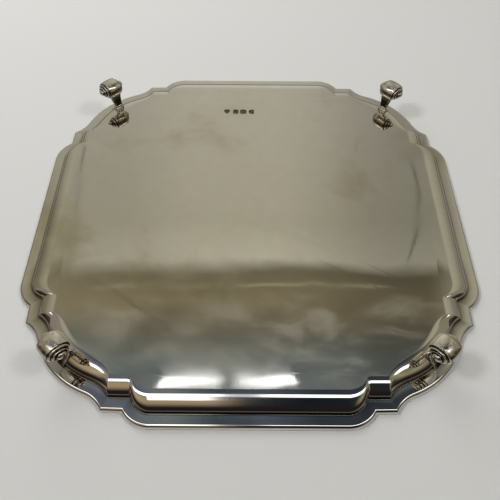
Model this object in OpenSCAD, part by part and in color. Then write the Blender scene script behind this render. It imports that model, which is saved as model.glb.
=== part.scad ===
// Shaped square salver: one raised sheet, an applied border in mitred lengths, four cast scroll feet.
// The feet stand on z = 0, the border is uppermost, and the long sides run along x and y.

/* [Tray] */
// distance across the flats of the border, mm
across = 305; // [240:5:380]
// thickness of the raised sheet, mm
sheet = 0.9; // [0.8:0.1:1.2]
// height from the underside of the plate to the underside of the flange, mm
rise = 6.8; // [5.5:0.1:8]
// depth of the mark recesses struck into the underside, mm
mark_depth = 0.25; // [0.15:0.05:0.4]

/* [Border] */
// height of the applied moulding above the flange, mm
border_height = 2.7; // [2.2:0.1:3.4]
// share of the flange width the moulding covers
border_cover = 0.92; // [0.8:0.01:0.95]

/* [Feet] */
// height from the table to the underside of the flange, mm
flange_height = 28.2; // [26:0.1:34]
// half height of the oval ground scroll, mm
roll_radius = 5.8; // [5:0.1:6.4]
// width of the oval ground scroll, from its inner to its outer side, mm
roll_width = 16.8; // [14:0.2:18]
// half length of the plain drum of the scroll, mm
drum_half = 4.9; // [4.4:0.1:5.4]
// half height of the rounded boss at each end of the scroll, mm
boss_radius = 2.1; // [1.7:0.1:2.4]
// thickness of the scroll strap, mm
strap_thick = 2.6; // [2.2:0.1:3]

/* [Hidden] */
k = across / 305;
z_flange = flange_height;
z_plate = flange_height - rise;
z_seat = flange_height + sheet;
half = 152.5 * k;
arc_steps = 7;
wall_steps = 6;

// outline of the border, one eighth of the way round: along q, out to p
side_end = 57 * k;
shoulder_r = 20 * k;
notch_drop = 9.4 * k;
shoulder_turn = acos((shoulder_r - notch_drop) / shoulder_r);
cusp = [86.4, 142.8] * k;
bow_peak = [119.2, 119.2] * k;
bow_r = 60 * k;
hollow_r = 20.7 * k;
bow_mid = bow_peak - bow_r * [sin(45), cos(45)];
bend = bow_mid + bow_r * [sin(20), cos(20)];
hollow_mid = bend + hollow_r * [sin(20), cos(20)];
hollow_start = hollow_mid - hollow_r * [sin(60), cos(60)];

function mixed(a, b, t) = a + (b - a) * t;
function curve(a, b, c, d, t) =
  pow(1 - t, 3) * a + 3 * t * pow(1 - t, 2) * b + 3 * t * t * (1 - t) * c + t * t * t * d;

// the outer edge of the border
edge_shoulder = [for (i = [0 : arc_steps])
  [side_end, half - shoulder_r]
  + shoulder_r * [sin(shoulder_turn * i / arc_steps), cos(shoulder_turn * i / arc_steps)]];
edge_hollow = [for (i = [0 : arc_steps])
  hollow_mid - hollow_r * [sin(60 - 40 * i / arc_steps), cos(60 - 40 * i / arc_steps)]
  + (cusp - hollow_start) * (1 - i / arc_steps)];
edge_bow = [for (i = [1 : arc_steps])
  bow_mid + bow_r * [sin(20 + 25 * i / arc_steps), cos(20 + 25 * i / arc_steps)]];

// the crease where the flange meets the curved wall
crease_shoulder = [for (i = [0 : arc_steps])
  curve([57, 144.3] * k, [62.5, 144.3] * k, [67.6, 140.5] * k, [69.6, 134.9] * k, i / arc_steps)];
crease_hollow = [for (i = [0 : arc_steps])
  curve([82.8, 134.7] * k, [85, 130.8] * k, [88, 127.8] * k, [93.6, 125.2] * k, i / arc_steps)];
crease_bow = [for (i = [1 : arc_steps])
  curve([93.6, 125.2] * k, [100, 122.4] * k, [107.6, 119.2] * k, [113.4, 113.4] * k, i / arc_steps)];

// the edge of the flat plate, where the curved wall dies into it
plate_shoulder = [for (i = [0 : arc_steps])
  curve([57, 131.8] * k, [62.5, 131.8] * k, [67.4, 129.6] * k, [69.9, 123.2] * k, i / arc_steps)];
plate_hollow = [for (i = [0 : arc_steps])
  curve([82, 123.2] * k, [83.6, 119.6] * k, [86, 116.8] * k, [89.5, 114.2] * k, i / arc_steps)];
plate_bow = [for (i = [1 : arc_steps])
  curve([89.5, 114.2] * k, [94, 111] * k, [99, 107.8] * k, [103.4, 103.4] * k, i / arc_steps)];

edge8 = concat(edge_shoulder, edge_hollow, edge_bow);
crease8 = concat(crease_shoulder, crease_hollow, crease_bow);
plate8 = concat(plate_shoulder, plate_hollow, plate_bow);

// one eighth mirrored into a quarter, the quarter turned into the whole ring
m = len(edge8);
function quarter(c) = concat(
  c,
  [for (i = [m - 2 : -1 : 0]) [c[i][1], c[i][0]]]
);
function spin(p, n) =
  n == 0 ? [p[0], p[1]] : n == 1 ? [p[1], -p[0]] : n == 2 ? [-p[0], -p[1]] : [-p[1], p[0]];
function whole(c) = [for (n = [0 : 3]) for (p = quarter(c)) spin(p, n)];
per_quarter = 2 * m - 1;

edge_ring = whole(edge8);
crease_ring = whole(crease8);
plate_ring = whole(plate8);
count = len(edge_ring);

// a ring lying a share t of the way from the outer edge to the crease, at height z
function flange_ring(t, z) = [for (i = [0 : count - 1])
  let (q = mixed(edge_ring[i], crease_ring[i], t)) [q[0], q[1], z]];

// a ring on the curved wall: s runs 0 at the crease to 90 at the plate, lift is normal to the wall
function wall_ring(s, lift) = [for (i = [0 : count - 1])
  let (
    way = plate_ring[i] - crease_ring[i],
    run = norm(way),
    slope = norm([cos(s) / run, sin(s) / rise]),
    inward = run * (1 - cos(s)) + lift * (cos(s) / run) / slope,
    q = crease_ring[i] + way * inward / run
  )
  [q[0], q[1], z_flange - rise * sin(s) + lift * (sin(s) / rise) / slope]];

// stitch a stack of rings into triangles
function stitch(rings, n) = [for (r = [0 : rings - 2]) for (i = [0 : n - 1]) for (f = [0, 1])
  let (
    j = (i + 1) % n,
    a = r * n + i,
    b = r * n + j,
    c = (r + 1) * n + j,
    d = (r + 1) * n + i
  )
  f == 0 ? [a, b, c] : [a, c, d]];

// struck marks: four blank cartouches on the underside of the plate
mark_y = 103.8 * k;
mark_x = [19.6, 12.4, 6.3, -0.3];
mark_w = [4.8, 4.4, 5.2, 4.4];
mark_h = 5.2;

/* nodes */
long_sides = ["back", "right", "front", "left"];
corners = ["back_right", "front_right", "front_left", "back_left"];

silver = [0.78, 0.77, 0.73];
silver_border = [0.82, 0.81, 0.78];
silver_cast = [0.7, 0.69, 0.64];

// the raised sheet: flat plate, curved wall and flange in one thickness
module tray_body() {
  under = concat(
    wall_ring(90, 0),
    [for (i = [wall_steps - 1 : -1 : 1]) for (p = wall_ring(90 * i / wall_steps, 0)) p],
    flange_ring(1, z_flange),
    flange_ring(0.26, z_flange),
    flange_ring(0.16, z_flange + 0.16 * sheet),
    flange_ring(0.09, z_flange + 0.5 * sheet)
  );
  over = concat(
    flange_ring(0.05, z_seat),
    [for (i = [0 : count - 1])
      let (
        way = plate_ring[i] - crease_ring[i],
        q = crease_ring[i] + way * sheet / norm(way)
      )
      [q[0], q[1], z_seat]],
    [for (i = [1 : wall_steps - 1]) for (p = wall_ring(90 * i / wall_steps, sheet)) p],
    wall_ring(90, sheet)
  );
  stack = concat(under, over);
  rings = len(stack) / count;
  middle_under = len(stack);
  middle_over = middle_under + 1;
  last = (rings - 1) * count;
  color(silver) difference() {
    polyhedron(
      points = concat(stack, [[0, 0, z_plate], [0, 0, z_plate + sheet]]),
      faces = concat(
        stitch(rings, count),
        [for (i = [0 : count - 1]) [middle_under, (i + 1) % count, i]],
        [for (i = [0 : count - 1]) [middle_over, last + i, last + (i + 1) % count]]
      )
    );
    for (i = [0 : 3])
      translate([mark_x[i], mark_y, z_plate - 1]) linear_extrude(height = 1 + mark_depth)
        mark(i);
  }
}

// outline of one cartouche: shield, two plain oblongs with clipped corners, and a rounded end
module mark(i) {
  w = mark_w[i] / 2;
  h = mark_h / 2;
  if (i == 0)
    polygon([
      [-w, h * 0.5], [-w * 0.7, h], [w * 0.7, h], [w, h * 0.5],
      [w * 0.8, -h * 0.3], [0, -h], [-w * 0.8, -h * 0.3]
    ]);
  if (i == 1 || i == 2)
    polygon([
      [-w, h * 0.6], [-w * 0.6, h], [w * 0.6, h], [w, h * 0.6],
      [w, -h * 0.6], [w * 0.6, -h], [-w * 0.6, -h], [-w, -h * 0.6]
    ]);
  if (i == 3)
    polygon([
      [-w, h], [w * 0.3, h], [w * 0.8, h * 0.6], [w, 0],
      [w * 0.8, -h * 0.6], [w * 0.3, -h], [-w, -h]
    ]);
}

// section of the border moulding: share of the flange covered, height share above the flange
bead = [
  [0.05, 0], [0.015, 0.22], [0, 0.46], [0.02, 0.78], [0.09, 0.96], [0.19, 1], [0.29, 0.9],
  [0.36, 0.62], [0.46, 0.44], [0.62, 0.38], [0.72, 0.42], [0.78, 0.62], [0.87, 0.66],
  [0.95, 0.5], [1, 0.22], [1, 0]
];
nb = len(bead);

// a length of border between two places on the ring
module moulding(first, last) {
  stations = last - first + 1;
  pts = [for (i = [first : last]) for (b = bead)
    let (
      j = (i + count) % count,
      t = b[0] > 0.05 ? b[0] * border_cover : b[0],
      q = mixed(edge_ring[j], crease_ring[j], t)
    )
    [q[0], q[1], z_seat + border_height * b[1]]];
  // the end caps fan from a point inside the section, so the fan never leaves it
  cap = [for (i = [first, last])
    let (
      j = (i + count) % count,
      q = mixed(edge_ring[j], crease_ring[j], 0.4)
    )
    [q[0], q[1], z_seat + border_height * 0.15]];
  color(silver_border) polyhedron(
    points = concat(pts, cap),
    faces = concat(
      [for (s = [0 : stations - 2]) for (b = [0 : nb - 1]) for (f = [0, 1])
        let (
          c = (b + 1) % nb,
          p = s * nb + b,
          q = s * nb + c,
          r = (s + 1) * nb + c,
          t = (s + 1) * nb + b
        )
        f == 0 ? [p, r, q] : [p, t, r]],
      [for (b = [0 : nb - 1]) [stations * nb, b, (b + 1) % nb]],
      [for (b = [0 : nb - 1])
        [stations * nb + 1, (stations - 1) * nb + (b + 1) % nb, (stations - 1) * nb + b]]
    )
  );
}

// places on the ring: a quarter starts at the shoulder of one side and ends at the next side
notch = arc_steps;
point = arc_steps + 1;

module border_long(n) {
  start = n * per_quarter;
  moulding(start - 1 - notch, start + notch);
}

module border_link(n, far) {
  start = n * per_quarter;
  if (far == 0)
    moulding(start + notch, start + point);
  if (far == 1)
    moulding(start + per_quarter - 1 - point, start + per_quarter - 1 - notch);
}

module border_bow(n) {
  start = n * per_quarter;
  moulding(start + point, start + per_quarter - 1 - point);
}

// foot frame: u outward along the diagonal, v across it, z up from the table
foot_u = 159.5 * k;
roll_z = roll_radius;
// depth of the flat worn on the underside of the scroll
worn = 0.08;
heel_u = 152.7 * k;
heel_z = z_flange - 8.6;
toe_u = 163.4 * k;

// the space above the underside of the tray near corner n, so each foot meets it face to face
module tray_bed(n) {
  mid = n * per_quarter + m - 1;
  reach = 6;
  cols = [for (i = [mid - reach : mid + reach]) i];
  nc = len(cols);
  inner_ring = [for (p = wall_ring(90, 0)) [p[0] * 0.9, p[1] * 0.9, p[2]]];
  rings = concat(
    [inner_ring],
    [for (i = [wall_steps : -1 : 1]) wall_ring(90 * i / wall_steps, 0)],
    [flange_ring(1, z_flange), flange_ring(0.26, z_flange)]
  );
  nr = len(rings);
  low = [for (r = rings) for (c = cols) r[c]];
  high = [for (p = low) [p[0], p[1], z_flange + 12]];
  h = nr * nc;
  polyhedron(
    points = concat(low, high),
    faces = concat(
      [for (r = [0 : nr - 2]) for (i = [0 : nc - 2]) for (f = [0, 1])
        let (p = r * nc + i, q = p + 1, t = p + nc, w = t + 1) f == 0 ? [p, q, w] : [p, w, t]],
      [for (r = [0 : nr - 2]) for (i = [0 : nc - 2]) for (f = [0, 1])
        let (p = h + r * nc + i, q = p + 1, t = p + nc, w = t + 1) f == 0 ? [p, w, q] : [p, t, w]],
      [for (i = [0 : nc - 2]) for (f = [0, 1])
        f == 0 ? [i, h + i + 1, i + 1] : [i, h + i, h + i + 1]],
      [for (i = [0 : nc - 2]) for (f = [0, 1])
        let (p = (nr - 1) * nc + i) f == 0 ? [p, p + 1, h + p + 1] : [p, h + p + 1, h + p]],
      [for (r = [0 : nr - 2]) for (f = [0, 1])
        let (p = r * nc, q = p + nc) f == 0 ? [p, q, h + q] : [p, h + q, h + p]],
      [for (r = [0 : nr - 2]) for (f = [0, 1])
        let (p = r * nc + nc - 1, q = p + nc) f == 0 ? [p, h + q, q] : [p, h + p, h + q]]
    )
  );
}

// half section of the ground scroll: barrelled drum, two stepped coils, rounded boss
module roll_section() {
  r = roll_radius;
  b = boss_radius;
  d = drum_half;
  polygon([
    [0, -d - 5.4], [b * 0.6, -d - 5.1], [b, -d - 4.4], [b, -d - 3.4], [r * 0.46, -d - 3.3],
    [r * 0.54, -d - 2.9], [r * 0.66, -d - 2.4], [r * 0.7, -d - 1.6], [r * 0.78, -d - 1.4],
    [r * 0.9, -d - 0.8], [r * 0.94, -d], [r * 0.98, -d * 0.6], [r, -d * 0.2],
    [r, d * 0.2], [r * 0.98, d * 0.6], [r * 0.94, d], [r * 0.9, d + 0.8],
    [r * 0.78, d + 1.4], [r * 0.7, d + 1.6], [r * 0.66, d + 2.4], [r * 0.54, d + 2.9],
    [r * 0.46, d + 3.3], [b, d + 3.4], [b, d + 4.4], [b * 0.6, d + 5.1], [0, d + 5.4]
  ]);
}

// the ground scroll: its section is turned, then spread into an oval across the foot
module ground_scroll() {
  scale([roll_width / (2 * roll_radius), 1, 1])
    rotate([90, 0, 0]) rotate_extrude($fn = 32) roll_section();
}

// half section of the small scroll at the heel
module heel_section() {
  polygon([
    [0, -4.6], [0.8, -4.6], [1, -4], [1.5, -4], [1.6, -3.3], [1.9, -3.2], [2, -1.3], [2, 1.3],
    [1.9, 3.2], [1.6, 3.3], [1.5, 4], [1, 4], [0.8, 4.6], [0, 4.6]
  ]);
}

// side view of the strap: a slow reversed curve from the scroll to the heel, and a toe on the flange
module strap_side() {
  t = strap_thick;
  u = foot_u;
  polygon([
    [u - 5.8, roll_z - 0.6], [u - 5.8, roll_z + 2], [u - 5.5, roll_z + 5], [u - 5.7, roll_z + 8],
    [u - 6.4, roll_z + 11], [u - 7.3, roll_z + 13.4], [heel_u - 0.6, heel_z + 1],
    [heel_u - 1.2, z_flange + 1], [toe_u, z_flange + 1], [toe_u, z_flange - 0.9],
    [toe_u - 1.2, z_flange - 1.6], [toe_u - 3.4, z_flange - 3.4], [toe_u - 5.4, z_flange - 6.6],
    [u - 4 + t, heel_z - 2.5], [u - 5 + t, heel_z - 5], [u - 5.2 + t, heel_z - 8.5],
    [u - 5 + t, roll_z + 4.6], [u - 3.4 + t, roll_z + 2], [u, roll_z]
  ]);
}

// front view of the strap: broad at the scroll, drawn in to a waist, spread a little at the toe
module strap_front() {
  d = drum_half;
  polygon([
    [-4.3, z_flange + 1], [-4.3, z_flange - 1], [-3.8, z_flange - 4], [-3.3, heel_z - 1],
    [-3.3, heel_z - 3], [-3.9, heel_z - 6], [-4.8, heel_z - 9.5], [-d, roll_z + 2],
    [-d, roll_z - 2], [d, roll_z - 2], [d, roll_z + 2], [4.8, heel_z - 9.5],
    [3.9, heel_z - 6], [3.3, heel_z - 3], [3.3, heel_z - 1], [3.8, z_flange - 4],
    [4.3, z_flange - 1], [4.3, z_flange + 1]
  ]);
}

module foot(n) {
  color(silver_cast) difference() {
    rotate([0, 0, 45 - 90 * n]) union() {
      intersection() {
        translate([foot_u, 0, roll_z - worn]) ground_scroll();
        // the scroll rests on a narrow worn flat
        translate([foot_u - 20, -20, 0]) cube([40, 40, 40]);
      }
      intersection() {
        rotate([90, 0, 0]) translate([0, 0, -10]) linear_extrude(height = 20) strap_side();
        translate([foot_u - 30, 0, 0]) rotate([90, 0, 90]) linear_extrude(height = 60) strap_front();
      }
      translate([heel_u, 0, heel_z]) rotate([90, 0, 0]) rotate_extrude() heel_section();
    }
    tray_bed(n);
  }
}

tray_body();
for (n = [0 : 3])
  border_long(n);
for (n = [0 : 3])
  border_link(n, 0);
for (n = [0 : 3])
  border_link(n, 1);
for (n = [0 : 3])
  border_bow(n);
for (n = [0 : 3])
  foot(n);
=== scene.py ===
"""A shaped square silver salver on four scroll feet.

The salver stands upright on its feet. The camera looks up at its underside, turned over, so the picture
shows it lying face down on a pale table.
"""
import math

import bmesh
import bpy
from mathutils import Matrix, Vector
from mathutils.kdtree import KDTree


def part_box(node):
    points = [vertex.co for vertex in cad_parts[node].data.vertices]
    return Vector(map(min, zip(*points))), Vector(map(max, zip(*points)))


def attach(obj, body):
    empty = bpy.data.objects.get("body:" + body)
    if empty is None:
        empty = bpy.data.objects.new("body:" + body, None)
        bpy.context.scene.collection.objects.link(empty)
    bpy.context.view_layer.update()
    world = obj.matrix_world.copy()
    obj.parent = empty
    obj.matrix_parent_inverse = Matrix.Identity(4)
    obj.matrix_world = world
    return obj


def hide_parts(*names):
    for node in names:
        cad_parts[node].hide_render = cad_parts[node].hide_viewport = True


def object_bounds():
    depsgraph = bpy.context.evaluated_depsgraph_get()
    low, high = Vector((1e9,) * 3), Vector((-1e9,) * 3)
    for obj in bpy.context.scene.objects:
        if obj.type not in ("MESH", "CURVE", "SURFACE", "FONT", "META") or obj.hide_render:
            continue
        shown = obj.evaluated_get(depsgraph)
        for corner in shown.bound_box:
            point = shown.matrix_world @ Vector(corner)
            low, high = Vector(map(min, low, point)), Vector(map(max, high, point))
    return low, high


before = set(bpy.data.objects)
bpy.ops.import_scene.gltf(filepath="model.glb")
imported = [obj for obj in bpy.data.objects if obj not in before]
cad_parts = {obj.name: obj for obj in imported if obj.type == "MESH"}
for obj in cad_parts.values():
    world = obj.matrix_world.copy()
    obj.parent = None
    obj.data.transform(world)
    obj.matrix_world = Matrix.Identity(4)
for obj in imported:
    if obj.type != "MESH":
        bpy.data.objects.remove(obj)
CAD_BOX = [list(corner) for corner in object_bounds()]
MM = 0.001

# ---------------------------------------------------------------- sizes, in millimetres, from the frame

TRAY_LOW, TRAY_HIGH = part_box("tray_body")
BORDER_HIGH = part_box("border_back")[1].z / MM
K = (CAD_BOX[1][0] - CAD_BOX[0][0]) / 0.305
SHEET = 0.9
Z_PLATE = TRAY_LOW.z / MM
Z_SEAT = TRAY_HIGH.z / MM
Z_FLANGE = Z_SEAT - SHEET
RISE = Z_FLANGE - Z_PLATE
BORDER_HEIGHT = BORDER_HIGH - Z_SEAT
BORDER_COVER = 0.92

# ---------------------------------------------------------------- the outline, one eighth of the way round

STEPS = 18
SOFT_CORNER = 3


def mixed(a, b, t):
    return tuple(p + (q - p) * t for p, q in zip(a, b))


def bezier(a, b, c, d, t):
    s = 1 - t
    return tuple(
        s**3 * p + 3 * t * s * s * q + 3 * t * t * s * r + t**3 * w for p, q, r, w in zip(a, b, c, d)
    )


def bezier_run(a, b, c, d, first=0):
    return [bezier(a, b, c, d, i / STEPS) for i in range(first, STEPS + 1)]


def sin_deg(a):
    return math.sin(math.radians(a))


def cos_deg(a):
    return math.cos(math.radians(a))


def arc_point(middle, radius, angle):
    return middle[0] + radius * sin_deg(angle), middle[1] + radius * cos_deg(angle)


def edge_eighth():
    """Outer edge of the border: shoulder, hollow and bow."""
    turn = math.degrees(math.acos((20 - 9.4) / 20))
    shoulder = [arc_point((57, 132.5), 20, turn * i / STEPS) for i in range(STEPS + 1)]
    bow_mid = arc_point((119.2, 119.2), -60, 45)
    bend = arc_point(bow_mid, 60, 20)
    hollow_mid = arc_point(bend, 20.7, 20)
    start = arc_point(hollow_mid, -20.7, 60)
    drift = (86.4 - start[0], 142.8 - start[1])
    hollow = []
    for i in range(STEPS + 1):
        x, y = arc_point(hollow_mid, -20.7, 60 - 40 * i / STEPS)
        fade = 1 - i / STEPS
        hollow.append((x + drift[0] * fade, y + drift[1] * fade))
    bow = [arc_point(bow_mid, 60, 20 + 25 * i / STEPS) for i in range(1, STEPS + 1)]
    return shoulder, hollow, bow


def crease_eighth():
    """The line where the flange meets the curved wall."""
    return (
        bezier_run((57, 144.3), (62.5, 144.3), (67.6, 140.5), (69.6, 134.9)),
        bezier_run((82.8, 134.7), (85, 130.8), (88, 127.8), (93.6, 125.2)),
        bezier_run((93.6, 125.2), (100, 122.4), (107.6, 119.2), (113.4, 113.4), 1),
    )


def plate_eighth():
    """The edge of the flat plate, where the curved wall dies into it."""
    return (
        bezier_run((57, 131.8), (62.5, 131.8), (67.4, 129.6), (69.9, 123.2)),
        bezier_run((82, 123.2), (83.6, 119.6), (86, 116.8), (89.5, 114.2)),
        bezier_run((89.5, 114.2), (94, 111), (99, 107.8), (103.4, 103.4), 1),
    )


def rounded(before, point, after, radius):
    """Three points that round off a corner."""
    a = Vector(before) - Vector(point)
    b = Vector(after) - Vector(point)
    start = Vector(point) + a.normalized() * min(radius, a.length * 0.9)
    end = Vector(point) + b.normalized() * min(radius, b.length * 0.9)
    middle = (start + end + 2 * Vector(point)) / 4
    return [tuple(start), tuple(middle), tuple(end)]


def eighth(parts, radius):
    """One eighth of a ring, with its two corners rounded: where the shoulder ends and at the cusp."""
    shoulder, hollow, bow = parts
    notch = rounded(shoulder[-2], shoulder[-1], hollow[0], radius)
    cusp = rounded(shoulder[-1], hollow[0], hollow[1], radius)
    return shoulder[:-1] + notch + cusp + hollow[1:] + bow


def whole(points):
    """An eighth mirrored into a quarter, and the quarter turned into the whole ring."""
    quarter = [(x * K, y * K) for x, y in points]
    quarter += [(y, x) for x, y in reversed(quarter[:-1])]
    turns = (
        lambda p: p,
        lambda p: (p[1], -p[0]),
        lambda p: (-p[0], -p[1]),
        lambda p: (-p[1], p[0]),
    )
    return [turn(p) for turn in turns for p in quarter]


EDGE = whole(eighth(edge_eighth(), 0.12))
CREASE = whole(eighth(crease_eighth(), 0.7))
PLATE = whole(eighth(plate_eighth(), 1.6))
COUNT = len(EDGE)
PER_QUARTER = COUNT // 4
NOTCH = STEPS + 1
CUSP = NOTCH + SOFT_CORNER


def flange_ring(share, z):
    """A ring on the flange, a share of the way from the outer edge to the crease."""
    return [(*mixed(a, b, share), z) for a, b in zip(EDGE, CREASE)]


def inward_ring(inward, z):
    """A ring a fixed distance inside the crease."""
    ring = []
    for a, b in zip(CREASE, PLATE):
        way = Vector(b) - Vector(a)
        p = Vector(a) + way.normalized() * inward
        ring.append((p.x, p.y, z))
    return ring


def wall_ring(angle, lift):
    """A ring on the wall: angle runs from 0 at the crease to 90 at the plate, lift is along the normal."""
    ring = []
    for a, b in zip(CREASE, PLATE):
        way = Vector(b) - Vector(a)
        run = way.length
        slope = math.hypot(cos_deg(angle) / run, sin_deg(angle) / RISE)
        inward = run * (1 - cos_deg(angle)) + lift * (cos_deg(angle) / run) / slope
        p = Vector(a) + way.normalized() * inward
        z = Z_FLANGE - RISE * sin_deg(angle) + lift * (sin_deg(angle) / RISE) / slope
        ring.append((p.x, p.y, z))
    return ring


def fillet_rings(radius, angle, steps):
    """Rings that round the inner corner between the flange and the foot of the wall."""
    rings = []
    outer, corner, inner = inward_ring(-radius, Z_FLANGE), inward_ring(0, Z_FLANGE), wall_ring(angle, 0)
    for i in range(1, steps):
        t = i / steps
        rings.append(
            [mixed(mixed(a, b, t), mixed(b, c, t), t) for a, b, c in zip(outer, corner, inner)]
        )
    return [outer] + rings


# ---------------------------------------------------------------- mesh helpers


def mesh_object(name, points, faces, material, smooth_angle=40):
    """An object from points in millimetres, with outward faces and smooth shading."""
    mesh = bpy.data.meshes.new(name)
    mesh.from_pydata([tuple(c * MM for c in p) for p in points], [], faces)
    tidy = bmesh.new()
    tidy.from_mesh(mesh)
    bmesh.ops.remove_doubles(tidy, verts=tidy.verts, dist=1e-7)
    bmesh.ops.recalc_face_normals(tidy, faces=tidy.faces)
    tidy.to_mesh(mesh)
    tidy.free()
    mesh.shade_smooth()
    mesh.set_sharp_from_angle(angle=math.radians(smooth_angle))
    mesh.materials.append(material)
    piece = bpy.data.objects.new(name, mesh)
    bpy.context.scene.collection.objects.link(piece)
    return piece


def lofted(rings, caps=True):
    """Points and faces through a stack of closed rings of equal length."""
    n = len(rings[0])
    points = [p for ring in rings for p in ring]
    faces = []
    for r in range(len(rings) - 1):
        for i in range(n):
            j = (i + 1) % n
            faces.append((r * n + i, r * n + j, (r + 1) * n + j, (r + 1) * n + i))
    if caps:
        last = (len(rings) - 1) * n
        faces.append(tuple(range(n)))
        faces.append(tuple(last + i for i in range(n)))
    return points, faces


def joined(parts):
    """Several (points, faces) pairs as one."""
    points, faces = [], []
    for more_points, more_faces in parts:
        base = len(points)
        points += more_points
        faces += [tuple(base + i for i in face) for face in more_faces]
    return points, faces


# ---------------------------------------------------------------- material helpers


class Graph:
    """A short way to write a node tree."""

    def __init__(self, tree):
        self.tree = tree
        self.tree.nodes.clear()

    def node(self, kind, **settings):
        made = self.tree.nodes.new(kind)
        for key, value in settings.items():
            setattr(made, key, value)
        return made

    def feed(self, socket, value):
        if isinstance(value, bpy.types.NodeSocket):
            self.tree.links.new(value, socket)
        elif value is not None:
            socket.default_value = value

    def math(self, operation, a, b=None, c=None):
        made = self.node("ShaderNodeMath", operation=operation)
        for socket, value in zip(made.inputs, (a, b, c)):
            self.feed(socket, value)
        return made.outputs[0]

    def step(self, value, low, high, start=0.0, end=1.0):
        """A smooth step from start at low to end at high."""
        made = self.node("ShaderNodeMapRange", interpolation_type="SMOOTHSTEP")
        for name, item in (
            ("Value", value),
            ("From Min", low),
            ("From Max", high),
            ("To Min", start),
            ("To Max", end),
        ):
            self.feed(made.inputs[name], item)
        return made.outputs["Result"]

    def band(self, value, low, high, soft):
        """One between low and high, fading to nothing over soft on each side."""
        rise = self.step(value, low - soft, low + soft)
        fall = self.step(value, high - soft, high + soft, 1.0, 0.0)
        return self.math("MULTIPLY", rise, fall)

    def mix(self, factor, a, b, blend="MIX"):
        made = self.node("ShaderNodeMix", data_type="RGBA", blend_type=blend, clamp_factor=True)
        self.feed(made.inputs[0], factor)
        self.feed(made.inputs[6], a)
        self.feed(made.inputs[7], b)
        return made.outputs[2]

    def noise(self, place, scale, detail=3.0, rough=0.5, distortion=0.0):
        made = self.node("ShaderNodeTexNoise")
        self.feed(made.inputs["Vector"], place)
        self.feed(made.inputs["Scale"], scale)
        self.feed(made.inputs["Detail"], detail)
        self.feed(made.inputs["Roughness"], rough)
        self.feed(made.inputs["Distortion"], distortion)
        return made.outputs["Fac"]

    def ramp(self, value, stops):
        made = self.node("ShaderNodeValToRGB")
        band = made.color_ramp
        while len(band.elements) < len(stops):
            band.elements.new(0.5)
        for element, (place, colour) in zip(band.elements, stops):
            element.position = place
            element.color = colour
        self.feed(made.inputs[0], value)
        return made.outputs[0]


def display(r, g, b):
    """The linear colour of an 8-bit display colour."""
    return tuple(((c / 255 + 0.055) / 1.055) ** 2.4 if c > 10 else c / 3294.6 for c in (r, g, b)) + (1.0,)


# ---------------------------------------------------------------- materials


def silver(name, clean, tarnished, cloud_scale, cloud_share, rough, wave=0.0, scratch=0.25, painted_recess_shade=False):
    """Worn polished silver: tarnish clouds, a patchy polish, fine scratches and a slightly wavy face."""
    material = bpy.data.materials.new(name)
    material.use_nodes = True
    g = Graph(material.node_tree)
    place = g.node("ShaderNodeTexCoord").outputs["Object"]
    clouds = g.noise(place, cloud_scale, 4.0, 0.55, 0.4)
    cloud = g.step(clouds, 0.62 - cloud_share, 0.78 - cloud_share * 0.5)
    fine = g.noise(place, cloud_scale * 9, 5.0, 0.65)
    colour = g.mix(cloud, clean, tarnished)
    colour = g.mix(g.step(fine, 0.3, 0.8, 0.0, 0.16), colour, tarnished)
    # Painted shade: a value stored on each point darkens the colour towards dark brown in the sheet's
    # crease, the scroll's grooves and the strap's flutes.
    if painted_recess_shade:
        painted_shade_share = g.node("ShaderNodeAttribute", attribute_name="painted_recess_shade").outputs["Fac"]
        colour = g.mix(painted_shade_share, colour, display(58, 50, 38))
    stretch = g.node("ShaderNodeMapping")
    stretch.inputs["Scale"].default_value = (900.0, 60.0, 200.0)
    stretch.inputs["Rotation"].default_value = (0.0, 0.0, math.radians(17))
    g.feed(stretch.inputs["Vector"], place)
    scratches = g.noise(stretch.outputs[0], 1.0, 2.0, 0.5)
    marks = g.step(scratches, 0.62, 0.74)
    patch = g.noise(place, cloud_scale * 2.2, 3.0, 0.5)
    roughness = g.math("MULTIPLY_ADD", g.step(patch, 0.4, 0.75), rough * 1.2, rough * 0.7)
    roughness = g.math("MULTIPLY_ADD", marks, scratch * 0.12, roughness)
    roughness = g.math("MULTIPLY_ADD", cloud, rough * 0.6, roughness)
    shader = g.node("ShaderNodeBsdfPrincipled")
    shader.inputs["Metallic"].default_value = 1.0
    g.feed(shader.inputs["Base Color"], colour)
    g.feed(shader.inputs["Roughness"], roughness)
    bump = g.node("ShaderNodeBump")
    bump.inputs["Distance"].default_value = 0.00002 * scratch
    bump.inputs["Strength"].default_value = 1.0
    g.feed(bump.inputs["Height"], scratches)
    normal = bump.outputs[0]
    if wave:
        swell = g.node("ShaderNodeBump")
        swell.inputs["Distance"].default_value = wave * MM
        swell.inputs["Strength"].default_value = 1.0
        low = g.noise(place, 9.0, 3.0, 0.36)
        g.feed(swell.inputs["Height"], low)
        g.feed(swell.inputs["Normal"], normal)
        normal = swell.outputs[0]
    g.feed(shader.inputs["Normal"], normal)
    out = g.node("ShaderNodeOutputMaterial")
    g.feed(out.inputs["Surface"], shader.outputs[0])
    return material


SHEET_SILVER = silver(
    "sheet_silver", display(228, 224, 214), display(202, 194, 174), 11.0, 0.08, 0.045,
    wave=0.5, scratch=0.1, painted_recess_shade=True
)
BORDER_SILVER = silver(
    "border_silver", display(236, 232, 222), display(184, 174, 146), 40.0, 0.05, 0.12, scratch=0.5
)
CAST_SILVER = silver(
    "cast_silver", display(232, 226, 212), display(150, 138, 108), 160.0, 0.06, 0.18, painted_recess_shade=True
)
MARK_SILVER = silver("mark_silver", display(140, 130, 104), display(66, 58, 42), 600.0, 0.2, 0.35)

# ---------------------------------------------------------------- the raised sheet


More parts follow.
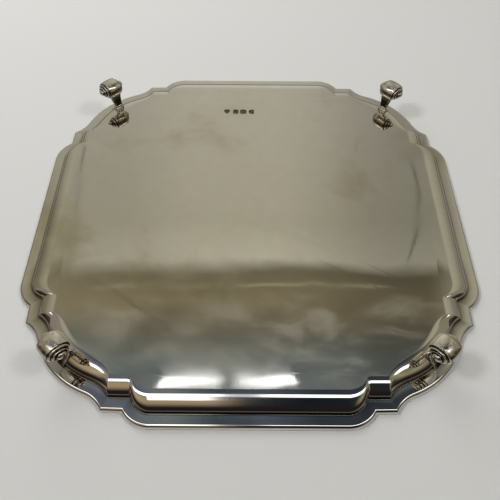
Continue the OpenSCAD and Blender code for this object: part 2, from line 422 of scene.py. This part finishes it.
def mark_outline(i, wide, high):
    """Blank cartouches: a shield, two oblongs with clipped corners, and one with a rounded end."""
    w, h = wide / 2, high / 2
    shapes = (
        [(-1, 0.5), (-0.7, 1), (0.7, 1), (1, 0.5), (0.8, -0.3), (0, -1), (-0.8, -0.3)],
        [(-1, 0.6), (-0.6, 1), (0.6, 1), (1, 0.6), (1, -0.6), (0.6, -1), (-0.6, -1), (-1, -0.6)],
        [(-1, 0.6), (-0.6, 1), (0.6, 1), (1, 0.6), (1, -0.6), (0.6, -1), (-0.6, -1), (-1, -0.6)],
        [(-1, 1), (0.3, 1), (0.8, 0.6), (1, 0), (0.8, -0.6), (0.3, -1), (-1, -1)],
    )
    return [(x * w, y * h) for x, y in shapes[i]]


def mark_cutter():
    """The four punches, as one mesh that is cut out of the sheet's underside."""
    parts = []
    for i, (x, wide) in enumerate(((19.6, 4.8), (12.4, 4.4), (6.3, 5.2), (-0.3, 4.4))):
        outline = mark_outline(i, wide, 5.2)
        rings = [
            [(x * K + a * share, 103.8 * K + b * share, z) for a, b in outline]
            for share, z in ((1.0, Z_PLATE - 1), (1.0, Z_PLATE), (0.9, Z_PLATE + 0.25))
        ]
        parts.append(lofted(rings))
    points, faces = joined(parts)
    return mesh_object("mark_cutter", points, faces, MARK_SILVER)


def cut(piece, cutter):
    """Takes the cutter out of the piece; the cut faces keep the cutter's material."""
    piece.data.materials.append(MARK_SILVER)
    step = piece.modifiers.new("cut", "BOOLEAN")
    step.operation = "DIFFERENCE"
    step.solver = "EXACT"
    step.material_mode = "TRANSFER"
    step.object = cutter
    depsgraph = bpy.context.evaluated_depsgraph_get()
    result = bpy.data.meshes.new_from_object(piece.evaluated_get(depsgraph))
    piece.modifiers.clear()
    old = piece.data
    piece.data = result
    bpy.data.meshes.remove(old)
    bpy.data.objects.remove(cutter)
    piece.data.set_sharp_from_angle(angle=math.radians(40))


def point_values(mesh, name, values):
    """Stores one number for each point of the mesh."""
    layer = mesh.attributes.new(name, "FLOAT", "POINT")
    layer.data.foreach_set("value", values)


def crease_painted_shade(mesh):
    """Painted shade darkens the crease, and a little of the wall beside it."""
    creases = KDTree(COUNT * 4)
    number = 0
    for a, b in zip(CREASE, CREASE[1:] + CREASE[:1]):
        for part in range(4):
            x, y = mixed(a, b, part / 4)
            creases.insert((x, y, 0), number)
            number += 1
    creases.balance()
    values = []
    for vertex in mesh.vertices:
        x, y, z = vertex.co / MM
        away = creases.find((x, y, 0))[2]
        below = z < Z_FLANGE + 0.01
        values.append(0.8 * max(0.0, 1 - away / 1.5) ** 0.7 if below else 0.0)
    point_values(mesh, "painted_recess_shade", values)


def tray_sheet():
    """The raised sheet: underside rings from the plate out, round the edge, and back over the top."""
    wall_angles = [90, 87, 84, 80, 76, 72, 67, 62, 57, 52, 47, 42, 37, 32, 27, 22, 17, 12]
    under = [wall_ring(a, 0) for a in wall_angles]
    under += fillet_rings(0.45, 6, 5)[::-1]
    under += [inward_ring(-out, Z_FLANGE) for out in (0.7, 1.0, 1.3, 1.7)]
    edge = ((0.27, 0.0), (0.235, 0.02), (0.2, 0.07), (0.165, 0.15), (0.13, 0.28), (0.1, 0.45), (0.07, 0.68))
    under += [flange_ring(share, Z_FLANGE + SHEET * h) for share, h in edge]
    over = [flange_ring(0.05, Z_SEAT), inward_ring(-0.4, Z_SEAT)]
    over += [inward_ring(SHEET * 0.55, Z_SEAT - 0.12), inward_ring(SHEET * 0.88, Z_SEAT - 0.4)]
    over += [wall_ring(a, SHEET) for a in reversed(wall_angles)]
    points, faces = lofted(under + over)
    piece = mesh_object("raised_sheet", points, faces, SHEET_SILVER)
    cut(piece, mark_cutter())
    # Painted shade in the crease of the sheet.
    crease_painted_shade(piece.data)
    return piece


# ---------------------------------------------------------------- the border


def border_profile():
    """Section of the moulding: (share of the flange covered, share of the height)."""
    roll = [
        (0.145 - 0.145 * cos_deg(a) * (1.0 if a < 90 else 1.2), 0.46 + 0.54 * sin_deg(a))
        for a in range(-50, 161, 14)
    ]
    cove = [bezier((0.34, 0.6), (0.42, 0.36), (0.58, 0.33), (0.68, 0.4), i / 8) for i in range(9)]
    reed = [(0.82 - 0.12 * cos_deg(a), 0.36 + 0.34 * sin_deg(a)) for a in range(20, 161, 14)]
    lip = [(0.955, 0.4), (0.975, 0.3), (1.0, 0.2), (1.0, 0.0)]
    return [(0.05, 0.0)] + roll + cove + reed + lip


PROFILE = border_profile()


def moulding(name, first, last):
    """A length of border between two places on the ring."""
    rings = []
    for i in range(first, last + 1):
        edge, crease = EDGE[i % COUNT], CREASE[i % COUNT]
        ring = []
        for share, height in PROFILE:
            across = share if share <= 0.05 else share * BORDER_COVER
            ring.append((*mixed(edge, crease, across), Z_SEAT + BORDER_HEIGHT * height))
        rings.append(ring)
    points, faces = lofted(rings)
    return mesh_object(name, points, faces, BORDER_SILVER, 50)


# ---------------------------------------------------------------- the feet

FOOT_U = 159.5 * K
ROLL_R = 5.8
ROLL_OVAL = 8.35 / ROLL_R
DRUM_HALF = 4.9


def lathe_along_v(u, z, section, sides=40, oval=1.0):
    """A turned shape with its axis across the foot, through (u, z); section is (radius, v)."""
    rings = []
    for radius, v in section:
        rings.append(
            [
                (u + oval * radius * cos_deg(360 * i / sides), v, z + radius * sin_deg(360 * i / sides))
                for i in range(sides)
            ]
        )
    return lofted(rings)


def reed(u, z, radius, half_length):
    """A small bar across the foot with rounded ends."""
    section = [
        (radius * max(cos_deg(a), 0.05), side * (half_length - radius + radius * abs(sin_deg(a))))
        for side, angles in ((-1, range(88, -1, -11)), (1, range(0, 89, 11)))
        for a in angles
    ]
    return lathe_along_v(u, z, section, 20)


BOSS_R = 2.1
COILS = 2.0
COIL_OUT = 5.5
COIL_IN = 2.75
COIL_DEEP = 3.2
CONE_STEPS = 64
SIDES_ROUND = 96


def coil_end(side):
    """One end of the ground scroll: a spiral ridge that winds in and out to a round boss."""
    rings, coil_shade = [], []
    for step in range(CONE_STEPS + 1):
        q = step / CONE_STEPS
        base_r = COIL_OUT + (COIL_IN - COIL_OUT) * q
        base_v = DRUM_HALF - 0.3 + COIL_DEEP * q
        ring = []
        for i in range(SIDES_ROUND):
            turn = i / SIDES_ROUND
            crest = abs(math.sin(math.pi * (COILS * q - turn * side)))
            fade = min(1.0, q * 10) * min(1.0, (1 - q) * 8)
            push = (crest - 0.55) * fade
            radius = base_r + push * 0.55
            v = side * (base_v + push * 1.0)
            angle = 360 * turn
            across = FOOT_U + ROLL_OVAL * radius * cos_deg(angle)
            ring.append((across, v, ROLL_R + radius * sin_deg(angle)))
            # Painted shade in the grooves between the coil's crests, fading out at both ends of the coil.
            coil_shade.append(fade * max(0.0, 1 - crest * 1.15) ** 0.5)
        rings.append(ring)
    points, faces = lofted(rings, caps=False)
    return points, faces, coil_shade


def scroll():
    """The ground scroll: an oval barrelled drum, a coiled end each side, and a boss in each."""
    barrel = [
        (ROLL_R * (1 - 0.055 * (v / DRUM_HALF) ** 2), v)
        for v in (DRUM_HALF * 0.95 * (i / 12 - 1) for i in range(25))
    ]
    lip = ((COIL_OUT - 0.3, DRUM_HALF - 0.35), (COIL_OUT - 0.1, DRUM_HALF - 0.1))
    drum = [(r, -v) for r, v in lip] + barrel + [(r, v) for r, v in reversed(lip)]
    parts, painted_shades = [], []
    for side in (-1, 1):
        points, faces, coil_shade = coil_end(side)
        parts.append((points, faces))
        painted_shades += coil_shade
    parts.append(lathe_along_v(FOOT_U, ROLL_R, drum, SIDES_ROUND, ROLL_OVAL))
    rings = len(drum)
    # Painted shade on the two rings at each end of the drum, where it meets the coils.
    painted_shade_rings = (0, 1, rings - 2, rings - 1)
    painted_shades += [1.0 if ring in painted_shade_rings else 0.0 for ring in range(rings) for _ in range(SIDES_ROUND)]
    for side in (-1, 1):
        dish = [(BOSS_R + 0.75, -0.5), (BOSS_R + 0.1, -0.7)]
        dome = [(BOSS_R * cos_deg(a), 1.9 * sin_deg(a)) for a in range(0, 88, 8)] + [(0.03, 1.9)]
        section = [(r, side * (DRUM_HALF + COIL_DEEP + 0.2 + d)) for r, d in dish + dome]
        parts.append(lathe_along_v(FOOT_U, ROLL_R, section, SIDES_ROUND, ROLL_OVAL))
        # Painted shade on the first three rings of each boss, in the dish round its foot.
        painted_shades += [1.0 if ring < 3 else 0.0 for ring in range(len(section)) for _ in range(SIDES_ROUND)]
    points, faces = joined(parts)
    points = [(u, v, max(z, 0.0)) for u, v, z in points]
    return points, faces, painted_shades


def strap_section(u, z, lean, wide, thick):
    """A flat bar with bevelled edges and a shallow flute down its faces, at (u, z), leaning outward."""
    half = [(1.0, 0.3), (0.95, 0.7), (0.82, 0.97), (0.76, 1.0), (0.7, 0.92), (0.5, 0.86), (0.0, 0.84)]
    face = [(-v, d) for v, d in half] + [(v, d) for v, d in reversed(half[:-1])]
    outline = [(v, -d) for v, d in face] + [(-v, d) for v, d in face]
    half_u, half_z = thick / 2 * cos_deg(lean), thick / 2 * sin_deg(lean)
    return [(u + half_u * d, wide * v, z - half_z * d) for v, d in outline]


def strap_painted_shade(rings):
    """Painted shade, standing in for the dark reflection of each face, lies in the flute and stays off the
    edges.
    """
    face = [0, 0, 0, 0.15, 0.6, 0.75, 0.75, 0.75, 0.6, 0.15, 0, 0, 0]
    return (face + face) * rings


def smooth_path(knots, steps):
    """Catmull-Rom through the knots, each a tuple of numbers."""
    path = []
    last = len(knots) - 1
    for k in range(last):
        p0, p1, p2, p3 = (knots[min(max(k + o, 0), last)] for o in (-1, 0, 1, 2))
        for i in range(steps):
            t = i / steps
            path.append(
                tuple(
                    0.5 * (2 * b + (c - a) * t + (2 * a - 5 * b + 4 * c - d) * t * t
                           + (3 * b - a - 3 * c + d) * t**3)
                    for a, b, c, d in zip(p0, p1, p2, p3)
                )
            )
    path.append(knots[-1])
    return path


def strap():
    """The strap from the scroll up to the sheet: (u, z, lean, half width, thickness)."""
    knots = [
        (FOOT_U - 4.6, 5.4, 0, 4.7, 2.2),
        (FOOT_U - 4.7, 8.0, 0, 4.8, 2.3),
        (FOOT_U - 4.6, 11.0, 2, 4.6, 2.4),
        (FOOT_U - 4.9, 14.0, -6, 4.0, 2.4),
        (FOOT_U - 5.6, 16.8, -12, 3.4, 2.5),
        (FOOT_U - 5.8, 19.2, 0, 3.2, 2.8),
        (FOOT_U - 4.6, 21.6, 28, 3.2, 3.2),
        (FOOT_U - 2.0, 24.4, 48, 3.3, 3.0),
        (FOOT_U + 0.6, 26.6, 66, 3.1, 2.2),
        (FOOT_U + 2.8, 27.8, 84, 2.6, 1.3),
    ]
    return [strap_section(*row) for row in smooth_path(knots, 6)]


BOW_MIDDLE = (PER_QUARTER - 1) // 2
CREASE_U = math.hypot(*CREASE[BOW_MIDDLE])
WALL_RUN = CREASE_U - math.hypot(*PLATE[BOW_MIDDLE])


def seat_height(u):
    """Height of the middle of the sheet at u on the diagonal: the cast metal ends inside the sheet."""
    across = min(1.0, max(0.0, 1 - (CREASE_U - u) / WALL_RUN))
    return Z_FLANGE - RISE * math.sqrt(1 - across * across) + SHEET / 2


def foot(name, node, quarter):
    """A cast scroll foot in the corner of that quarter, a quarter turn from the last."""
    points, faces, painted_shades = scroll()
    straps = strap()
    painted_shades += strap_painted_shade(len(straps))
    heel_u, heel_z = FOOT_U - 7.0, Z_FLANGE - 8.6
    more = [
        lofted(straps),
        reed(heel_u + 0.2, heel_z, 0.85, 3.6),
        reed(heel_u - 0.2, heel_z + 1.6, 0.9, 4.0),
        reed(heel_u + 0.1, heel_z + 3.0, 1.0, 3.7),
    ]
    points, faces = joined([(points, faces)] + more)
    painted_shades += [0.0] * (len(points) - len(painted_shades))
    points = [(u, v, min(z, seat_height(u))) for u, v, z in points]
    angle = 45 - 90 * quarter
    placed = [
        (u * cos_deg(angle) - v * sin_deg(angle), u * sin_deg(angle) + v * cos_deg(angle), z)
        for u, v, z in points
    ]
    mesh = bpy.data.meshes.new(name)
    mesh.from_pydata([tuple(c * MM for c in p) for p in placed], [], faces)
    # Stores the painted shade of the scroll's grooves, rings and the strap's flutes on each point.
    point_values(mesh, "painted_recess_shade", painted_shades)
    tidy = bmesh.new()
    tidy.from_mesh(mesh)
    bmesh.ops.remove_doubles(tidy, verts=tidy.verts, dist=1e-7)
    bmesh.ops.recalc_face_normals(tidy, faces=tidy.faces)
    tidy.to_mesh(mesh)
    tidy.free()
    mesh.shade_smooth()
    mesh.set_sharp_from_angle(angle=math.radians(42))
    mesh.materials.append(CAST_SILVER)
    piece = bpy.data.objects.new(name, mesh)
    bpy.context.scene.collection.objects.link(piece)
    place(piece, node, "cast_feet")


# ---------------------------------------------------------------- putting the pieces in the frame


def place(piece, node, slot):
    """Fixes a piece to the salver's one body, in place of its CAD node."""
    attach(piece, "root")
    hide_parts(node)


place(tray_sheet(), "tray_body", "raised_sheet")

SIDES = ("back", "right", "front", "left")
CORNERS = ("back_right", "front_right", "front_left", "back_left")
for n, (side_name, corner_name) in enumerate(zip(SIDES, CORNERS)):
    start = n * PER_QUARTER
    end = start + PER_QUARTER - 1
    spans = (
        (f"moulding_{side_name}", f"border_{side_name}", start - 1 - NOTCH, start + NOTCH),
        (f"moulding_link_{corner_name}_a", f"border_link_{corner_name}_a", start + NOTCH, start + CUSP),
        (f"moulding_bow_{corner_name}", f"border_bow_{corner_name}", start + CUSP, end - CUSP),
        (f"moulding_link_{corner_name}_b", f"border_link_{corner_name}_b", end - CUSP, end - NOTCH),
    )
    for name, node, first, last in spans:
        place(moulding(name, first, last), node, "border_moulding")
    foot(f"scroll_foot_{corner_name}", f"foot_{corner_name}", n)

# ---------------------------------------------------------------- camera

LENS = 40.315
CAMERA_PLACE = Vector((0.0, -0.25077, -0.29021))
LOOK_UP = 55.177
ROLL = 0.381


def make_camera():
    """The camera looks up at the underside, with the feet towards it."""
    data = bpy.data.cameras.new("camera")
    data.lens = LENS
    data.sensor_width = 36
    data.clip_start = 0.01
    camera = bpy.data.objects.new("camera", data)
    bpy.context.scene.collection.objects.link(camera)
    ahead = Vector((0, cos_deg(LOOK_UP), sin_deg(LOOK_UP)))
    level_right = Vector((-1, 0, 0))
    level_up = level_right.cross(ahead)
    right = level_right * cos_deg(ROLL) + level_up * sin_deg(ROLL)
    up = level_up * cos_deg(ROLL) - level_right * sin_deg(ROLL)
    turn = Matrix((right, up, -ahead)).transposed()
    camera.matrix_world = Matrix.Translation(CAMERA_PLACE) @ turn.to_4x4()
    bpy.context.scene.camera = camera


make_camera()

# ---------------------------------------------------------------- stage


def one_sided(name, colour):
    """A matt surface that shows from its front only."""
    material = bpy.data.materials.new(name)
    material.use_nodes = True
    g = Graph(material.node_tree)
    spot = g.node("ShaderNodeTexCoord").outputs["Object"]
    grain = g.noise(spot, 400.0, 4.0, 0.6)
    shade = g.mix(g.step(grain, 0.3, 0.7, 0.0, 0.04), colour, (0.5, 0.5, 0.5, 1))
    matt = g.node("ShaderNodeBsdfDiffuse")
    g.feed(matt.inputs["Color"], shade)
    clear = g.node("ShaderNodeBsdfTransparent")
    behind = g.node("ShaderNodeNewGeometry").outputs["Backfacing"]
    both = g.node("ShaderNodeMixShader")
    g.feed(both.inputs[0], behind)
    g.feed(both.inputs[1], matt.outputs[0])
    g.feed(both.inputs[2], clear.outputs[0])
    out = g.node("ShaderNodeOutputMaterial")
    g.feed(out.inputs["Surface"], both.outputs[0])
    return material


STAGE_HALF = 4.0


def stage_plane(name, z, facing_up, material):
    """A level plane that the camera sees and the silver doesn't: it casts and blocks nothing."""
    corners = [(x * STAGE_HALF, y * STAGE_HALF, z) for x, y in ((-1, -1), (1, -1), (1, 1), (-1, 1))]
    if not facing_up:
        corners.reverse()
    mesh = bpy.data.meshes.new(name)
    mesh.from_pydata(corners, [], [(0, 1, 2, 3)])
    mesh.materials.append(material)
    plane = bpy.data.objects.new(name, mesh)
    bpy.context.scene.collection.objects.link(plane)
    plane.visible_glossy = False
    plane.visible_diffuse = False
    plane.visible_shadow = False


PALE = (0.58, 0.58, 0.57, 1)
stage_plane("floor", 0.0, True, one_sided("floor_pale", PALE))
stage_plane("table", BORDER_HIGH * MM, False, one_sided("table_pale", PALE))


def area_light(name, spot, aim, size, power):
    """A round soft light that warms the silver without showing in it."""
    data = bpy.data.lights.new(name, "AREA")
    data.shape = "DISK"
    data.size = size
    data.energy = power
    light = bpy.data.objects.new(name, data)
    bpy.context.scene.collection.objects.link(light)
    light.location = spot
    light.rotation_mode = "QUATERNION"
    light.rotation_quaternion = (Vector(aim) - Vector(spot)).to_track_quat("-Z", "Y")
    light.visible_glossy = False


area_light("under_left", (0.9, -0.15, -1.15), (0, 0, 0.03), 0.3, 7.0)
area_light("under_right", (-0.9, -0.15, -1.15), (0, 0, 0.03), 0.3, 5.0)
area_light("under_back", (0.35, 0.75, -0.6), (0.1, 0.1, 0.03), 0.9, 5.5)
area_light("over_left", (-0.9, -0.7, 1.3), (0, 0, 0), 0.8, 14.0)
area_light("over_right", (1.1, 0.3, 1.5), (0, 0, 0), 1.0, 9.0)


SILVER_TINT = (0.74, 0.715, 0.65)


def seen(r, g, b):
    """The light that the room needs for worn silver to show this display colour."""
    return tuple(c / t for c, t in zip(display(r, g, b), SILVER_TINT)) + (1.0,)


def room():
    """What the polished silver reflects: a soft studio above, and below it a dim room with windows.

    turn runs from the horizon ahead of the camera (0), straight down (90), to the horizon behind it (180);
    side is the angle to the left (below zero) or the right, as the camera sees it.
    """
    world = bpy.data.worlds.new("room")
    bpy.context.scene.world = world
    world.use_nodes = True
    g = Graph(world.node_tree)
    split = g.node("ShaderNodeSeparateXYZ")
    g.feed(split.inputs[0], g.node("ShaderNodeTexCoord").outputs["Generated"])
    x, y, z = split.outputs
    turn = g.math("DEGREES", g.math("ARCTAN2", g.math("MULTIPLY", z, -1.0), y))
    side = g.math("DEGREES", g.math("ARCSINE", g.math("MULTIPLY", x, -1.0)))
    wide = g.math("ABSOLUTE", side)

    ahead = g.ramp(
        g.math("DIVIDE", turn, 180.0),
        [
            (angle / 180, seen(*colour))
            for angle, colour in (
                (0, (165, 160, 145)),
                (14, (185, 180, 165)),
                (35, (165, 160, 145)),
                (52, (155, 150, 130)),
                (56.5, (170, 165, 145)),
                (57.4, (95, 90, 70)),
                (61, (115, 105, 80)),
                (65, (90, 90, 80)),
                (67, (95, 100, 95)),
                (70, (90, 95, 95)),
            )
        ],
    )
    beside = g.ramp(
        g.math("DIVIDE", wide, 90.0),
        [
            (angle / 90, seen(*colour))
            for angle, colour in (
                (18, (140, 135, 115)),
                (28, (150, 145, 125)),
                (40, (140, 135, 115)),
                (55, (115, 110, 95)),
                (90, (110, 105, 95)),
            )
        ],
    )
    fall_left = g.step(side, -14.0, -5.0, g.step(turn, 56.8, 57.4, 0.84, 1.12), 1.0)
    fall_right = g.step(side, g.step(turn, 61.0, 63.0, 2.0, 7.0), 16.0, 1.0, 0.6)
    fall = g.math("MULTIPLY", fall_left, fall_right)
    grey = g.node("ShaderNodeCombineColor")
    for socket in grey.inputs[:3]:
        g.feed(socket, fall)
    under = g.mix(1.0, ahead, grey.outputs[0], "MULTIPLY")
    under = g.mix(g.step(g.math("SUBTRACT", wide, 18.0), 0.0, 6.0), under, beside)

    view = g.node("ShaderNodeCombineXYZ")
    g.feed(view.inputs[0], g.math("MULTIPLY", side, 0.4))
    g.feed(view.inputs[1], turn)
    clutter = g.noise(view.outputs[0], 0.34, 5.0, 0.6, 0.6)
    cluttered = g.math("MULTIPLY", g.band(turn, 60.5, 69.5, 1.5), g.band(side, -19.0, 19.0, 4.0))
    pale_things = g.math("MULTIPLY", g.step(clutter, 0.46, 0.66, 0.0, 0.36), cluttered)
    dark_things = g.math("MULTIPLY", g.step(clutter, 0.34, 0.5, 0.22, 0.0), cluttered)
    under = g.mix(pale_things, under, seen(160, 155, 140))
    under = g.mix(dark_things, under, seen(50, 45, 40))

    def across(stops):
        """A ramp over side, from -60 on the left to 60 on the right."""
        share = g.math("MULTIPLY_ADD", side, 1 / 120, 0.5)
        return g.ramp(share, [(0.5 + angle / 120, seen(*colour)) for angle, colour in stops])

    ceiling = across(
        (
            (-30, (130, 120, 110)),
            (-20, (70, 75, 95)),
            (-8, (100, 105, 105)),
            (-3, (50, 60, 65)),
            (2, (70, 75, 85)),
            (7, (45, 50, 55)),
            (20, (45, 50, 55)),
            (34, (120, 115, 95)),
        )
    )
    under = g.mix(g.step(turn, 69.9, 70.9), under, ceiling)
    behind = across(
        (
            (-60, (60, 55, 45)),
            (-42, (160, 145, 115)),
            (-16, (150, 130, 100)),
            (-4, (150, 135, 110)),
            (0, (45, 45, 45)),
            (6, (20, 25, 30)),
            (24, (40, 40, 35)),
            (42, (140, 130, 100)),
            (60, (55, 50, 40)),
        )
    )
    under = g.mix(g.step(turn, 94.0, 102.0), under, behind)
    under = g.mix(g.step(turn, 112.0, 150.0), under, seen(30, 25, 25))

    panes = g.math("MAXIMUM", g.band(side, -9.3, -3.0, 0.25), g.band(side, -1.3, 5.0, 0.25))
    far_glass = g.math("MULTIPLY", g.band(turn, 68.9, 69.75, 0.1), panes)
    haze = g.math("MULTIPLY", g.step(turn, 67.2, 69.0), g.step(turn, 69.7, 69.9, 1.0, 0.0))
    haze = g.math("MULTIPLY", g.math("MULTIPLY", haze, panes), 0.12)
    strip = g.math("MULTIPLY", g.band(turn, 86.0, 95.0, 1.0), g.band(side, -38.0, 38.0, 3.0))
    gap = g.math("MULTIPLY", g.band(side, -2.6, 1.6, 1.0), 0.75)
    strip = g.math("MULTIPLY", strip, g.math("SUBTRACT", 1.0, gap))
    tall = g.math("MULTIPLY", g.band(turn, 86.0, 108.0, 1.5), g.band(side, -13.0, -4.0, 1.5))
    glass = g.math("MAXIMUM", g.math("MAXIMUM", far_glass, haze), g.math("MAXIMUM", strip, tall))
    under = g.mix(glass, under, tuple(1.6 * c for c in seen(255, 255, 248)[:3]) + (1.0,))

    def line(middle, low, high, strength, width=0.22):
        """A thin line at a middle side angle, between two turns."""
        near = g.math("ABSOLUTE", g.math("SUBTRACT", side, middle))
        return g.math("MULTIPLY", g.step(near, 0.05, width, strength, 0.0), g.band(turn, low, high, 0.6))

    slant = g.math("MULTIPLY_ADD", g.math("SUBTRACT", turn, 57.6), 1.36, -17.0)
    bowed = g.math("MULTIPLY_ADD", g.math("POWER", g.math("SUBTRACT", turn, 50.5), 2.0), -0.03, 17.3)
    leaning = g.math("MULTIPLY_ADD", g.math("SUBTRACT", turn, 50.0), -0.13, -17.7)
    cables = g.math("MAXIMUM", line(slant, 57.5, 66.0, 0.6), line(bowed, 45.0, 56.0, 0.6))
    cables = g.math("MAXIMUM", cables, line(leaning, 44.0, 57.0, 0.45))
    under = g.mix(cables, under, seen(40, 40, 30))
    rail = g.math("MULTIPLY", g.band(turn, 59.0, 59.25, 0.12), g.band(side, -16.0, 14.0, 2.0))
    under = g.mix(g.math("MULTIPLY", rail, 0.5), under, seen(170, 160, 130))

    over = g.ramp(
        g.math("DIVIDE", g.math("ARCSINE", z), math.pi / 2),
        (
            (0.0, display(90, 85, 75)),
            (0.1, display(120, 115, 105)),
            (0.2, display(180, 175, 170)),
            (0.32, display(160, 160, 160)),
            (0.5, display(140, 140, 145)),
            (0.72, display(230, 230, 230)),
            (1.0, display(250, 250, 250)),
        ),
    )
    colour = g.mix(g.step(z, -0.03, 0.01), under, over)
    glow = g.node("ShaderNodeBackground")
    g.feed(glow.inputs[0], colour)
    out = g.node("ShaderNodeOutputWorld")
    g.feed(out.inputs[0], glow.outputs[0])


room()
bpy.context.scene.view_settings.view_transform = "Standard"

bpy.context.view_layer.update()
